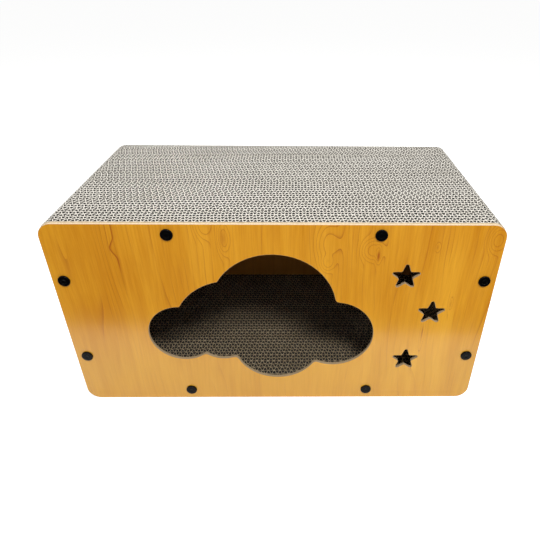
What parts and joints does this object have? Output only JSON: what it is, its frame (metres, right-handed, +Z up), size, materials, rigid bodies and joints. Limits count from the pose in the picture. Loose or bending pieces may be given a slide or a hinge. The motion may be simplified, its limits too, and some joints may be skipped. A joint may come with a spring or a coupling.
{
  "type": "cat condo",
  "caption": "Free-standing cat condo: corrugated-board roof, floor and sides between wood-print end boards held by push rivets, with a cloud-shaped doorway and star windows in front.",
  "frame": {"origin": "middle of the base, on the floor that the condo stands on", "axes": "+Z up, +X to the right as seen from the front, the doorway faces -Y"},
  "size_m": [0.56, 0.3082, 0.2854],
  "materials": {
    "board_core": "bare fibreboard, cut edge",
    "wood_film": "printed wood grain, satin",
    "cardboard": "corrugated board, cut across the flutes",
    "black_nylon": "moulded, glossy"
  },
  "bodies": {
    "root": {"front_board": "board_core", "front_outer_film": "wood_film", "front_inner_film": "wood_film", "rear_board": "board_core", "rear_outer_film": "wood_film", "rear_inner_film": "wood_film", "top_slab": "cardboard", "floor_slab": "cardboard", "left_slab": "cardboard", "right_slab": "cardboard", "front_top_sleeves": "black_nylon", "front_top_pins": "black_nylon", "front_floor_sleeves": "black_nylon", "front_floor_pins": "black_nylon", "front_left_sleeves": "black_nylon", "front_left_pins": "black_nylon", "front_right_sleeves": "black_nylon", "front_right_pins": "black_nylon", "rear_top_sleeves": "black_nylon", "rear_top_pins": "black_nylon", "rear_floor_sleeves": "black_nylon", "rear_floor_pins": "black_nylon", "rear_left_sleeves": "black_nylon", "rear_left_pins": "black_nylon", "rear_right_sleeves": "black_nylon", "rear_right_pins": "black_nylon"}
  },
  "joints": []
}
